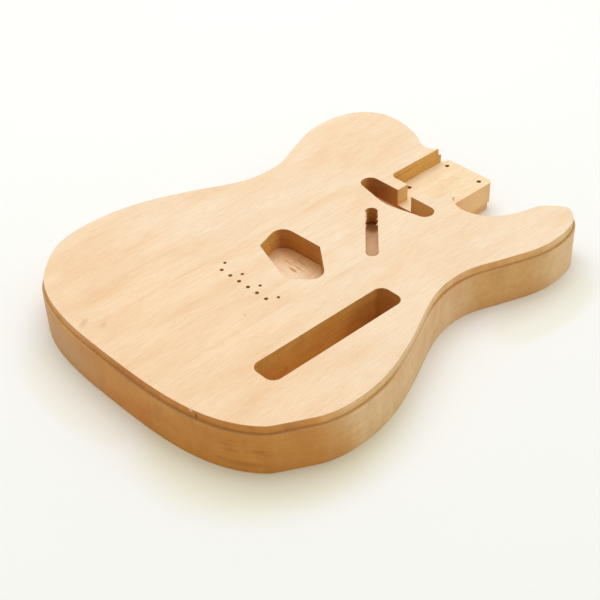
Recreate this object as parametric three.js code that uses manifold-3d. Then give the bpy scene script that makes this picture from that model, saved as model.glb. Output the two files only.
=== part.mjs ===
// Bare solid electric guitar body with a single cutaway, made of three edge-glued boards.
// Millimetres. The body lies on its back: +X runs to the neck, +Y to the bass side, +Z up.
// The origin is on the back face, in the middle of the length and the width.
import * as THREE from "three";
import { mergeVertices } from "three/addons/utils/BufferGeometryUtils.js";
import Module from "manifold-3d";

// Whole body
const BODY_LENGTH = 406.4;
const BODY_WIDTH = 323.8;
const BODY_THICKNESS = 44.45;
const CENTRE_BOARD_WIDTH = 88.9;

// Ledge cut round the top edge for an edge binding, which is not fitted
const LEDGE_WIDTH = 2.2;
const LEDGE_HEIGHT = 7.6;

// String holes, which run through to wider seats for their ferrules in the back
const STRING_COUNT = 6;
const STRING_SPACING = 10.8;
const STRING_HOLE_DIAMETER = 3.5;
const FERRULE_DIAMETER = 8;
const FERRULE_DEPTH = 11;

// Pilot holes for the bridge screws
const BRIDGE_SCREW_COUNT = 4;
const BRIDGE_SCREW_SPACING = 21.66;
const BRIDGE_SCREW_SETBACK = 8.1;
const BRIDGE_SCREW_DIAMETER = 2.9;
const BRIDGE_SCREW_DEPTH = 19;

// Neck pocket, the heel under it and the notch for the end of the truss rod.
// The heel ends a little short of the tip of the bass horn.
const HEEL_SETBACK = 2.3;
const POCKET_FROM_STRINGS = 197.4;
const POCKET_LENGTH = 75.6;
const POCKET_WIDTH = 55.9;
const POCKET_DEPTH = 15.9;
const POCKET_CORNER_RADIUS = 6;
const HEEL_TREBLE_INSET = 0.3;
const HEEL_BASS_INSET = 1.4;
const HEEL_CORNER_RADIUS = 4.7;
const HEEL_STEP_WIDTH = 1.6;
const HEEL_STEP_HEIGHT = 7.9;
const NOTCH_WIDTH = 15.9;
const NOTCH_OFFSET = -1.1;
const NECK_SCREW_FROM_WALL = 15.6;
const NECK_SCREW_LENGTHWISE = 50.8;
const NECK_SCREW_CROSSWISE = 38.1;
const NECK_SCREW_DIAMETER = 4.3;

// Neck pickup cavity, with a wall towards the bridge that bulges: straight flanks and a bent middle
const NECK_CAVITY_FROM_POCKET = 12.4;
const NECK_CAVITY_LENGTH = 81.6;
const NECK_CAVITY_END_WIDTH = 17.1;
const NECK_CAVITY_BULGE = 6.05;
const NECK_CAVITY_BEND_LENGTH = 22;
const NECK_CAVITY_DEPTH = 19.05;

// Bridge pickup cavity
const BRIDGE_CAVITY_FROM_STRINGS = 28;
const BRIDGE_CAVITY_WIDTH = 50;
const BRIDGE_CAVITY_LENGTH = 82;
const BRIDGE_CAVITY_DEPTH = 19.05;

// Control cavity
const CONTROL_FROM_BUTT = 68.2;
const CONTROL_LENGTH = 138.6;
const CONTROL_WIDTH = 25.9;
const CONTROL_FROM_CENTRE_LINE = 92;
const CONTROL_CORNER_RADIUS = 8.2;
const CONTROL_DEPTH = 38.1;

// Slanted wiring slot
const SLOT_FROM_STRINGS = 123.8;
const SLOT_FROM_CENTRE_LINE = 21.3;
const SLOT_LENGTH = 71.1;
const SLOT_WIDTH = 10.6;
const SLOT_ANGLE = 45;
const SLOT_DEPTH = 16.5;

// How far every cutter runs past the face that it opens
const CUT_OVERRUN = 5;
// Longest chord along the outline
const OUTLINE_CHORD = 6;
const FEWEST_CHORDS = 4;
const CORNER_STEPS = 6;
const BEND_STEPS = 12;
const HOLE_SIDES = 16;

// Outline of the sides, anticlockwise from the middle of the butt.
// Each row holds the place along the length from the butt, the place across the width from
// the centre line, the heading in degrees, and the reach of the curve before and after it.
const trebleSideShares = [
  [0, 0.08, -90, 0.107, 0.175],
  [0.0773, -0.4152, -47, 0.114, 0.0065],
  [0.0935, -0.431, -29, 0.0065, 0.02],
  [0.1628, -0.4785, -27, 0.028, 0.024],
  [0.25, -0.5, 0, 0.037, 0.07],
  [0.431, -0.4442, 23, 0.069, 0.074],
  [0.628, -0.355, 0, 0.072, 0.053],
  [0.747, -0.394, -19, 0.047, 0.042],
  [0.867, -0.43, 0, 0.052, 0.094],
  [0.983, -0.3605, 68, 0.0155, 0.0115],
  [0.933, -0.287, 165, 0.024, 0.049],
  [0.823, -0.162, 91, 0.068, 0.018],
];
const bassSideShares = [
  [0.956, 0.117, 90, 0.013, 0.021],
  [0.98, 0.184, 67, 0.033, 0.029],
  [1, 0.301, 90, 0.04, 0.067],
  [0.87, 0.435, 180, 0.074, 0.055],
  [0.746, 0.396, 202, 0.05, 0.051],
  [0.627, 0.353, 180, 0.059, 0.066],
  [0.47, 0.4225, 155, 0.065, 0.073],
  [0.241, 0.5, 180, 0.095, 0.088],
  [0.062, 0.397, 228, 0.078, 0.071],
];
// Where the straight treble side of the heel starts, and the reach of the curves that meet the heel
const heelStartShare = 0.869;
const heelStartReachShare = 0.019;
const heelFarReachShare = 0.006;

// Corners of the bridge pickup cavity, as shares of its width and half its length
const bridgeCavityShares = [
  [0.324, 0.741],
  [0, -0.45],
  [0.44, -1.05],
  [1, -0.156],
  [0.966, 1],
];
const BRIDGE_CAVITY_RADII = [3, 12, 12, 1.5, 11.2];

const wasm = await Module();
wasm.setup();

// Places that follow from the driving sizes
const heelEndX = BODY_LENGTH / 2 - HEEL_SETBACK;
const pocketWallX = heelEndX - POCKET_LENGTH;
const stringRowX = pocketWallX - POCKET_FROM_STRINGS;
const heelStartX = (heelStartShare - 0.5) * BODY_LENGTH;
const heelTrebleY = HEEL_TREBLE_INSET - POCKET_WIDTH / 2;
const heelBassY = POCKET_WIDTH / 2 - HEEL_BASS_INSET;
const neckCavityWallX = pocketWallX - NECK_CAVITY_FROM_POCKET;

function solidFrom(geometry) {
  geometry.deleteAttribute("normal");
  geometry.deleteAttribute("uv");
  const merged = mergeVertices(geometry);
  const mesh = new wasm.Mesh({
    numProp: 3,
    vertProperties: Float32Array.from(merged.attributes.position.array),
    triVerts: Uint32Array.from(merged.index.array),
  });
  return new wasm.Manifold(mesh);
}

function geometryFrom(solid) {
  const mesh = solid.getMesh();
  const geometry = new THREE.BufferGeometry();
  geometry.setAttribute("position", new THREE.BufferAttribute(mesh.vertProperties, 3));
  geometry.setIndex(new THREE.BufferAttribute(mesh.triVerts, 1));
  geometry.computeVertexNormals();
  return geometry;
}

// A straight-sided solid over a closed list of points, from one height to another
function prism(points, bottom, top) {
  const shape = new THREE.Shape(points);
  const geometry = new THREE.ExtrudeGeometry(shape, { depth: top - bottom, bevelEnabled: false });
  geometry.translate(0, 0, bottom);
  return solidFrom(geometry);
}

function box(low, high) {
  const size = high.clone().sub(low);
  const middle = low.clone().add(high).multiplyScalar(0.5);
  const geometry = new THREE.BoxGeometry(size.x, size.y, size.z);
  geometry.translate(middle.x, middle.y, middle.z);
  return solidFrom(geometry);
}

function cylinder(x, y, diameter, bottom, top) {
  const geometry = new THREE.CylinderGeometry(diameter / 2, diameter / 2, top - bottom, HOLE_SIDES);
  geometry.rotateX(Math.PI / 2);
  geometry.translate(x, y, (top + bottom) / 2);
  return solidFrom(geometry);
}

// A cutter that opens the top face and leaves a flat floor
function pocketCutter(points, depth) {
  return prism(points, BODY_THICKNESS - depth, BODY_THICKNESS + CUT_OVERRUN);
}

// A polygon whose corners are rounded, each by its own radius
function roundedPolygon(corners, radii) {
  const points = [];
  corners.forEach((corner, i) => {
    const before = corners.at(i - 1).clone().sub(corner).normalize();
    const after = corners[(i + 1) % corners.length].clone().sub(corner).normalize();
    const halfAngle = Math.acos(before.dot(after)) / 2;
    if (!radii[i]) {
      points.push(corner.clone());
      return;
    }
    const toCentre = before.clone().add(after).normalize();
    const centre = corner.clone().addScaledVector(toCentre, radii[i] / Math.sin(halfAngle));
    const start = corner.clone().addScaledVector(before, radii[i] / Math.tan(halfAngle)).sub(centre);
    const turn = Math.sign(after.cross(before)) * (Math.PI - 2 * halfAngle);
    for (let step = 0; step <= CORNER_STEPS; step += 1) {
      const spoke = start.clone().rotateAround(new THREE.Vector2(), (turn * step) / CORNER_STEPS);
      points.push(centre.clone().add(spoke));
    }
  });
  return points;
}

function towards(heading) {
  const angle = THREE.MathUtils.degToRad(heading);
  return new THREE.Vector2(Math.cos(angle), Math.sin(angle));
}

function outlineNode([along, across, heading, before, after]) {
  const direction = towards(heading);
  const place = new THREE.Vector2((along - 0.5) * BODY_LENGTH, across * BODY_WIDTH);
  return {
    place,
    arrive: place.clone().addScaledVector(direction, -before * BODY_LENGTH),
    leave: place.clone().addScaledVector(direction, after * BODY_LENGTH),
  };
}

function curveTo(path, from, to) {
  path.bezierCurveTo(from.leave.x, from.leave.y, to.arrive.x, to.arrive.y, to.place.x, to.place.y);
}

// The closed path round the sides: butt, treble side, cutaway, heel, bass side
function sidePath() {
  const treble = trebleSideShares.map(outlineNode);
  const bass = bassSideShares.map(outlineNode);
  const butt = treble[0];
  const heelStart = {
    place: new THREE.Vector2(heelStartX, heelTrebleY),
    arrive: new THREE.Vector2(heelStartX - heelStartReachShare * BODY_LENGTH, heelTrebleY),
  };
  const cornerX = heelEndX - HEEL_CORNER_RADIUS;
  const heelFar = { leave: new THREE.Vector2(cornerX - heelFarReachShare * BODY_LENGTH, heelBassY) };
  const path = new THREE.Path();
  path.moveTo(butt.place.x, butt.place.y);
  for (let i = 1; i < treble.length; i += 1) curveTo(path, treble[i - 1], treble[i]);
  curveTo(path, treble.at(-1), heelStart);
  path.lineTo(cornerX, heelTrebleY);
  path.absarc(cornerX, heelTrebleY + HEEL_CORNER_RADIUS, HEEL_CORNER_RADIUS, -Math.PI / 2, 0);
  path.lineTo(heelEndX, heelBassY - HEEL_CORNER_RADIUS);
  path.absarc(cornerX, heelBassY - HEEL_CORNER_RADIUS, HEEL_CORNER_RADIUS, 0, Math.PI / 2);
  curveTo(path, heelFar, bass[0]);
  for (let i = 1; i < bass.length; i += 1) curveTo(path, bass[i - 1], bass[i]);
  curveTo(path, bass.at(-1), butt);
  return path;
}

// Points along the sides, moved straight inwards by the inset
function sidePoints(inset) {
  const points = [];
  for (const curve of sidePath().curves) {
    const chords = Math.max(FEWEST_CHORDS, Math.ceil(curve.getLength() / OUTLINE_CHORD));
    const steps = curve.isLineCurve ? 1 : chords;
    for (let step = 0; step < steps; step += 1) {
      const point = curve.getPoint(step / steps);
      const along = curve.getTangent(step / steps);
      const inwards = new THREE.Vector2(-along.y, along.x);
      points.push(point.clone().addScaledVector(inwards, inset));
    }
  }
  return points;
}

function neckPocket() {
  const halfWidth = POCKET_WIDTH / 2;
  const farX = heelEndX + CUT_OVERRUN;
  const corners = [
    new THREE.Vector2(pocketWallX, halfWidth),
    new THREE.Vector2(pocketWallX, -halfWidth),
    new THREE.Vector2(farX, -halfWidth),
    new THREE.Vector2(farX, halfWidth),
  ];
  const radii = [POCKET_CORNER_RADIUS, POCKET_CORNER_RADIUS, 0, 0];
  return pocketCutter(roundedPolygon(corners, radii), POCKET_DEPTH);
}

function trussRodNotch() {
  const startX = neckCavityWallX - CUT_OVERRUN;
  const endX = pocketWallX + CUT_OVERRUN;
  const low = new THREE.Vector3(startX, NOTCH_OFFSET - NOTCH_WIDTH / 2, BODY_THICKNESS - POCKET_DEPTH);
  const high = new THREE.Vector3(endX, NOTCH_OFFSET + NOTCH_WIDTH / 2, BODY_THICKNESS + CUT_OVERRUN);
  return box(low, high);
}

// Straight wall towards the neck, round ends, and a wall towards the bridge that bulges
function neckPickupCavity() {
  const radius = NECK_CAVITY_END_WIDTH / 2;
  const endY = NECK_CAVITY_LENGTH / 2 - radius;
  const middleX = neckCavityWallX - radius;
  const narrowX = neckCavityWallX - NECK_CAVITY_END_WIDTH;
  const bendY = NECK_CAVITY_BEND_LENGTH / 2;
  const slope = NECK_CAVITY_BULGE / (endY - bendY / 2);
  const bendX = narrowX - slope * (endY - bendY);
  const path = new THREE.Path();
  path.absarc(middleX, endY, radius, 0, Math.PI);
  path.lineTo(bendX, bendY);
  path.quadraticCurveTo(narrowX - slope * endY, 0, bendX, -bendY);
  path.lineTo(narrowX, -endY);
  path.absarc(middleX, -endY, radius, Math.PI, 2 * Math.PI);
  const points = path.getPoints(BEND_STEPS);
  return pocketCutter(points, NECK_CAVITY_DEPTH);
}

function bridgePickupCavity() {
  const startX = stringRowX + BRIDGE_CAVITY_FROM_STRINGS;
  const corners = bridgeCavityShares.map(([along, across]) => {
    return new THREE.Vector2(startX + along * BRIDGE_CAVITY_WIDTH, (across * BRIDGE_CAVITY_LENGTH) / 2);
  });
  return pocketCutter(roundedPolygon(corners, BRIDGE_CAVITY_RADII), BRIDGE_CAVITY_DEPTH);
}

function rectangle(length, width) {
  return [
    new THREE.Vector2(-length / 2, -width / 2),
    new THREE.Vector2(length / 2, -width / 2),
    new THREE.Vector2(length / 2, width / 2),
    new THREE.Vector2(-length / 2, width / 2),
  ];
}

function controlCavity() {
  const middle = new THREE.Vector2(
    CONTROL_FROM_BUTT + CONTROL_LENGTH / 2 - BODY_LENGTH / 2,
    -CONTROL_FROM_CENTRE_LINE,
  );
  const corners = rectangle(CONTROL_LENGTH, CONTROL_WIDTH).map((corner) => corner.add(middle));
  return pocketCutter(roundedPolygon(corners, corners.map(() => CONTROL_CORNER_RADIUS)), CONTROL_DEPTH);
}

function wiringSlot() {
  const middle = new THREE.Vector2(stringRowX + SLOT_FROM_STRINGS, -SLOT_FROM_CENTRE_LINE);
  const radius = SLOT_WIDTH / 2;
  const flat = SLOT_LENGTH / 2 - radius;
  const path = new THREE.Path();
  path.absarc(flat, 0, radius, -Math.PI / 2, Math.PI / 2);
  path.absarc(-flat, 0, radius, Math.PI / 2, (3 * Math.PI) / 2);
  const angle = THREE.MathUtils.degToRad(SLOT_ANGLE);
  const points = path.getPoints(CORNER_STEPS).map((point) => {
    return point.rotateAround(new THREE.Vector2(), angle).add(middle);
  });
  return pocketCutter(points, SLOT_DEPTH);
}

// Places along a row of holes that is centred on the centre line
function rowPlaces(count, spacing) {
  return Array.from({ length: count }, (_, i) => (i - (count - 1) / 2) * spacing);
}

function stringHoles() {
  const top = BODY_THICKNESS + CUT_OVERRUN;
  return rowPlaces(STRING_COUNT, STRING_SPACING).flatMap((y) => [
    cylinder(stringRowX, y, STRING_HOLE_DIAMETER, -CUT_OVERRUN, top),
    cylinder(stringRowX, y, FERRULE_DIAMETER, -CUT_OVERRUN, FERRULE_DEPTH),
  ]);
}

function bridgeScrewHoles() {
  const x = stringRowX + BRIDGE_SCREW_SETBACK;
  const bottom = BODY_THICKNESS - BRIDGE_SCREW_DEPTH;
  const top = BODY_THICKNESS + CUT_OVERRUN;
  return rowPlaces(BRIDGE_SCREW_COUNT, BRIDGE_SCREW_SPACING).map((y) => {
    return cylinder(x, y, BRIDGE_SCREW_DIAMETER, bottom, top);
  });
}

function neckScrewHoles() {
  const firstX = pocketWallX + NECK_SCREW_FROM_WALL;
  return [firstX, firstX + NECK_SCREW_LENGTHWISE].flatMap((x) => {
    return rowPlaces(2, NECK_SCREW_CROSSWISE).map((y) => {
      return cylinder(x, y, NECK_SCREW_DIAMETER, -CUT_OVERRUN, BODY_THICKNESS + CUT_OVERRUN);
    });
  });
}

// The step along the lower edge of the heel
function heelStep() {
  const low = new THREE.Vector3(heelStartX, heelTrebleY - CUT_OVERRUN, -CUT_OVERRUN);
  const high = new THREE.Vector3(heelEndX + CUT_OVERRUN, POCKET_WIDTH / 2, HEEL_STEP_HEIGHT);
  const kept = prism(sidePoints(HEEL_STEP_WIDTH), -2 * CUT_OVERRUN, BODY_THICKNESS);
  return box(low, high).subtract(kept);
}

// The glued-up slab with its ledge, cavities and holes, before it is parted into its boards
function shapedSlab() {
  const sides = prism(sidePoints(0), 0, BODY_THICKNESS - LEDGE_HEIGHT);
  const top = prism(sidePoints(LEDGE_WIDTH), 0, BODY_THICKNESS);
  const cutters = [
    neckPocket(),
    trussRodNotch(),
    neckPickupCavity(),
    bridgePickupCavity(),
    controlCavity(),
    wiringSlot(),
    heelStep(),
    ...stringHoles(),
    ...bridgeScrewHoles(),
    ...neckScrewHoles(),
  ];
  return cutters.reduce((solid, cutter) => solid.subtract(cutter), sides.add(top));
}

function wood(colour, roughness) {
  return new THREE.MeshStandardMaterial({ color: colour, roughness, metalness: 0 });
}

// One board: the part of the slab between two glue joints
function board(name, slab, lowY, highY, material) {
  const halfLength = BODY_LENGTH / 2 + CUT_OVERRUN + POCKET_LENGTH;
  const low = new THREE.Vector3(-halfLength, lowY, -CUT_OVERRUN);
  const high = new THREE.Vector3(halfLength, highY, BODY_THICKNESS + CUT_OVERRUN);
  const mesh = new THREE.Mesh(geometryFrom(slab.intersect(box(low, high))), material);
  mesh.name = name;
  return mesh;
}

const jointY = CENTRE_BOARD_WIDTH / 2;
const outsideY = BODY_WIDTH / 2 + CUT_OVERRUN;
const slab = shapedSlab();
const guitarBody = new THREE.Group();
guitarBody.name = "guitar_body";
guitarBody.add(
  board("bass_board", slab, jointY, outsideY, wood(0xf0d3ab, 0.62)),
  board("centre_board", slab, -jointY, jointY, wood(0xf3d6b0, 0.62)),
  board("treble_board", slab, -outsideY, -jointY, wood(0xefd0a8, 0.62)),
);

export default guitarBody;
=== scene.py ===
"""Bare electric guitar body of edge-glued alder, lying on its back on a pale studio floor.

The slab is drawn, extruded, stepped for its edge binding and routed as one glued-up blank, then
parted at its glue joints into the three boards. Lengths are given in millimetres and turned to
metres where they are used. +X runs to the neck, +Y to the bass side and +Z up.
"""

import logging
import math
import random
from contextlib import contextmanager
from dataclasses import dataclass, field
from enum import Enum
from functools import reduce
from typing import Any, Callable, Iterator

import bmesh
import bpy
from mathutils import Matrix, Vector


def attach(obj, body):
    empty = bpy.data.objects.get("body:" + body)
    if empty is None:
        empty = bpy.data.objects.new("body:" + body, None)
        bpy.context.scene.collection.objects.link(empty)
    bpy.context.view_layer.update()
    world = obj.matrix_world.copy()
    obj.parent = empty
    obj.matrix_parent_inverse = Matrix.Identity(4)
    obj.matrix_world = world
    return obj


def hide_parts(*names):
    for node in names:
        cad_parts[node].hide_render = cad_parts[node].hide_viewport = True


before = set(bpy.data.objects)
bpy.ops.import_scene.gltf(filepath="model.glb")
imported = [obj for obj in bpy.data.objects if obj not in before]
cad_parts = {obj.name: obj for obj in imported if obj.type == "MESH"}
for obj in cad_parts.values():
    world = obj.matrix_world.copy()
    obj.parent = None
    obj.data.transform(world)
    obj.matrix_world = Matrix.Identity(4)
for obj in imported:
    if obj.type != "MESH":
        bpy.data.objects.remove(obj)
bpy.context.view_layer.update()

logging.basicConfig(level=logging.INFO, format="%(message)s")
log = logging.getLogger("guitar_body")

MM = 0.001

# Places closer than this many millimetres are the same place
SAME_PLACE = 0.02
# Faces round a half turn, round an upright corner, round a drilled hole and across a rounded rim
HALF_TURN_STEPS = 16
CORNER_STEPS = 10
HOLE_SIDES = 32
RIM_STEPS = 3
# A face whose normal rises less than this is upright
UPRIGHT_RISE = 0.5
# Handle of a curve that makes a quarter turn round, as a share of the radius
ROUND_HANDLE_SHARE = 0.5523
# Units of the wave texture that one wave covers at a scale of 1
WAVE_LENGTH = 2 * math.pi / 20

Places = list[tuple[float, float]]
Marks = dict["Cut", bpy.types.Material]


class Board(Enum):
    """The boards of the slab: CAD node, and a material slot name that nothing reads."""

    BASS = ("bass_board", "bass_wood")
    CENTRE = ("centre_board", "centre_wood")
    TREBLE = ("treble_board", "treble_wood")

    def __init__(self, node: str, slot: str) -> None:
        """Keeps the board's names."""
        self.node = node
        self.slot = slot


class Cut(Enum):
    """How a face of the wood was made."""

    SANDED = "sanded"
    LEDGE = "ledge"
    ROUTED = "routed"


# Modelling helpers


def deselect_all() -> None:
    """Leaves edit mode and deselects every object."""
    if bpy.context.object and bpy.context.object.mode != "OBJECT":
        bpy.ops.object.mode_set(mode="OBJECT")
    bpy.ops.object.select_all(action="DESELECT")


def pick(*pieces: bpy.types.Object) -> None:
    """Selects pieces and nothing else, and makes the first one active.

    Args:
        pieces: The objects to pick.
    """
    deselect_all()
    for piece in pieces:
        piece.select_set(True)
    bpy.context.view_layer.objects.active = pieces[0]


@contextmanager
def editing(piece: bpy.types.Object, kind: str, picked: str = "DESELECT") -> Iterator[None]:
    """Keeps a piece in edit mode for the length of a with block.

    Args:
        piece: The object to edit.
        kind: What is selected in edit mode: VERT, EDGE or FACE.
        picked: SELECT to start with everything selected, DESELECT with nothing.

    Returns:
        The context of the with block.
    """
    pick(piece)
    bpy.ops.object.mode_set(mode="EDIT")
    bpy.ops.mesh.select_mode(type=kind)
    bpy.ops.mesh.select_all(action=picked)
    yield
    bpy.ops.object.mode_set(mode="OBJECT")


def bevel_edges(
    piece: bpy.types.Object,
    wanted: Callable[[bmesh.types.BMEdge], bool],
    radius: float,
    segments: int,
    clamp_overlap: bool = True,
) -> None:
    """Rounds the edges of a piece that a test picks.

    Args:
        piece: The object to change.
        wanted: Says whether an edge is picked.
        radius: The radius in millimetres.
        segments: How many faces go across the rounding.
        clamp_overlap: Whether a rounding stops where it meets another.
    """
    with editing(piece, "EDGE"):
        mesh = bmesh.from_edit_mesh(piece.data)
        for edge in [edge for edge in mesh.edges if wanted(edge)]:
            edge.select_set(True)
        mesh.select_flush_mode()
        bmesh.update_edit_mesh(piece.data)
        bpy.ops.mesh.bevel(offset=radius * MM, segments=segments, profile=0.5, clamp_overlap=clamp_overlap)


def at_height(edge: bmesh.types.BMEdge, height: float) -> bool:
    """Says whether both ends of an edge are at a height in metres."""
    return all(abs(vert.co.z - height) < SAME_PLACE * MM for vert in edge.verts)


def extrude_up(height: float) -> None:
    """Extrudes what is selected straight up by a height in metres."""
    bpy.ops.mesh.extrude_region_move(TRANSFORM_OT_translate={"value": (0, 0, height)})


def face_out() -> None:
    """Turns all faces of the edited mesh outwards."""
    bpy.ops.mesh.select_all(action="SELECT")
    bpy.ops.mesh.normals_make_consistent(inside=False)


def subtract(piece: bpy.types.Object, cutter: bpy.types.Object, material_mode: str = "INDEX") -> None:
    """Cuts one object out of another and removes the cutter.

    Args:
        piece: The object to cut.
        cutter: The object that it is cut with.
        material_mode: TRANSFER where the cut faces take the cutter's material.
    """
    pick(piece)
    modifier = piece.modifiers.new("Boolean", "BOOLEAN")
    modifier.operation = "DIFFERENCE"
    modifier.object = cutter
    modifier.solver = "EXACT"
    modifier.material_mode = material_mode
    bpy.ops.object.modifier_apply(modifier=modifier.name)
    bpy.data.objects.remove(cutter)


def join(pieces: list[bpy.types.Object], name: str) -> bpy.types.Object:
    """Joins pieces into one object.

    Args:
        pieces: The objects to join.
        name: The name of the joined object.

    Returns:
        The joined object.
    """
    pick(*pieces)
    if len(pieces) > 1:
        bpy.ops.object.join()
    joined = bpy.context.object
    joined.name = name
    return joined


def settle(piece: bpy.types.Object) -> bpy.types.Object:
    """Moves a piece's place, turn and scale into its mesh.

    Args:
        piece: The object.

    Returns:
        The same object.
    """
    pick(piece)
    bpy.ops.object.transform_apply(location=True, rotation=True, scale=True)
    return piece


def metres(place: tuple[float, ...]) -> tuple[float, ...]:
    """Turns millimetres to metres."""
    return tuple(length * MM for length in place)


def rectangle(left: float, right: float, low: float, high: float) -> Places:
    """Gives the corners of a rectangle in order."""
    return [(left, low), (right, low), (right, high), (left, high)]


def half_turn(x: float, y: float, radius: float, start: float) -> Places:
    """Gives the points of a half circle.

    Args:
        x: Its middle along the body in millimetres.
        y: Its middle across the body in millimetres.
        radius: Its radius in millimetres.
        start: Where it starts, in radians.

    Returns:
        The points, turning left.
    """
    angles = [start + math.pi * step / HALF_TURN_STEPS for step in range(HALF_TURN_STEPS + 1)]
    return [(x + radius * math.cos(angle), y + radius * math.sin(angle)) for angle in angles]


def prism(name: str, places: Places, bottom: float, top: float) -> bpy.types.Object:
    """Extrudes a straight-sided block over a ring of places.

    Args:
        name: The block's name.
        places: The ring's corners in order, in millimetres.
        bottom: The height of its lower face in millimetres.
        top: The height of its upper face in millimetres.

    Returns:
        The block.
    """
    deselect_all()
    bpy.ops.mesh.primitive_circle_add(vertices=len(places), radius=1, fill_type="NGON")
    block = bpy.context.object
    block.name = name
    with editing(block, "VERT"):
        mesh = bmesh.from_edit_mesh(block.data)
        for vert, place in zip(mesh.verts, places):
            vert.co = (*(Vector(place) * MM), bottom * MM)
        bmesh.update_edit_mesh(block.data)
        bpy.ops.mesh.select_all(action="SELECT")
        extrude_up((top - bottom) * MM)
        face_out()
    return block


def round_corner(block: bpy.types.Object, place: tuple[float, float], radius: float) -> None:
    """Rounds the upright edge of a block at a place.

    Args:
        block: The block.
        place: The place of the upright edge in millimetres.
        radius: The radius in millimetres.
    """
    corner = Vector(place) * MM

    def stands_there(edge: bmesh.types.BMEdge) -> bool:
        """Says whether both ends of an edge are over the place."""
        return all((vert.co.xy - corner).length < SAME_PLACE * MM for vert in edge.verts)

    bevel_edges(block, stands_there, radius, CORNER_STEPS, clamp_overlap=False)


def drill(name: str, places: Places, diameter: float, bottom: float, top: float) -> list[bpy.types.Object]:
    """Makes the cores that a drill takes out.

    Args:
        name: The cores' name.
        places: Where their axes go, in millimetres.
        diameter: The drill's diameter in millimetres.
        bottom: The height of the lower ends in millimetres.
        top: The height of the upper ends in millimetres.

    Returns:
        The cores.
    """
    cores = []
    for x, y in places:
        deselect_all()
        bpy.ops.mesh.primitive_cylinder_add(
            vertices=HOLE_SIDES,
            radius=diameter / 2 * MM,
            depth=(top - bottom) * MM,
            location=metres((x, y, (top + bottom) / 2)),
        )
        core = bpy.context.object
        core.name = name
        cores.append(settle(core))
    return cores


# The slab and its cuts


@dataclass(frozen=True)
class Router:
    """The routing machine with its stops, which every cut is measured from, in millimetres.

    Attributes:
        butt_x: The place of the butt along the body.
        wall_x: The place of the neck pocket's end wall.
        strings_x: The place of the row of string holes.
        top: The height of the top face.
        overrun: How far a cut runs past the faces that it opens.
    """

    butt_x: float
    wall_x: float
    strings_x: float
    top: float
    overrun: float

    def block(self, name: str, places: Places, depth: float) -> bpy.types.Object:
        """Makes the block that is routed out over a ring of places, down to a depth."""
        return prism(name, places, self.top - depth, self.top + self.overrun)

    def through(self, name: str, places: Places, diameter: float) -> list[bpy.types.Object]:
        """Makes the cores of holes that run right through."""
        return drill(name, places, diameter, -self.overrun, self.top + self.overrun)


@dataclass(frozen=True)
class OutlinePoint:
    """A point where two curves of the outline meet.

    The place along runs from the butt in shares of the length, the place across from the centre
    line in shares of the width, and the reaches of the curves are shares of the length. The
    heading is in degrees.
    """

    along: float
    across: float
    heading: float
    before: float
    after: float


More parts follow.
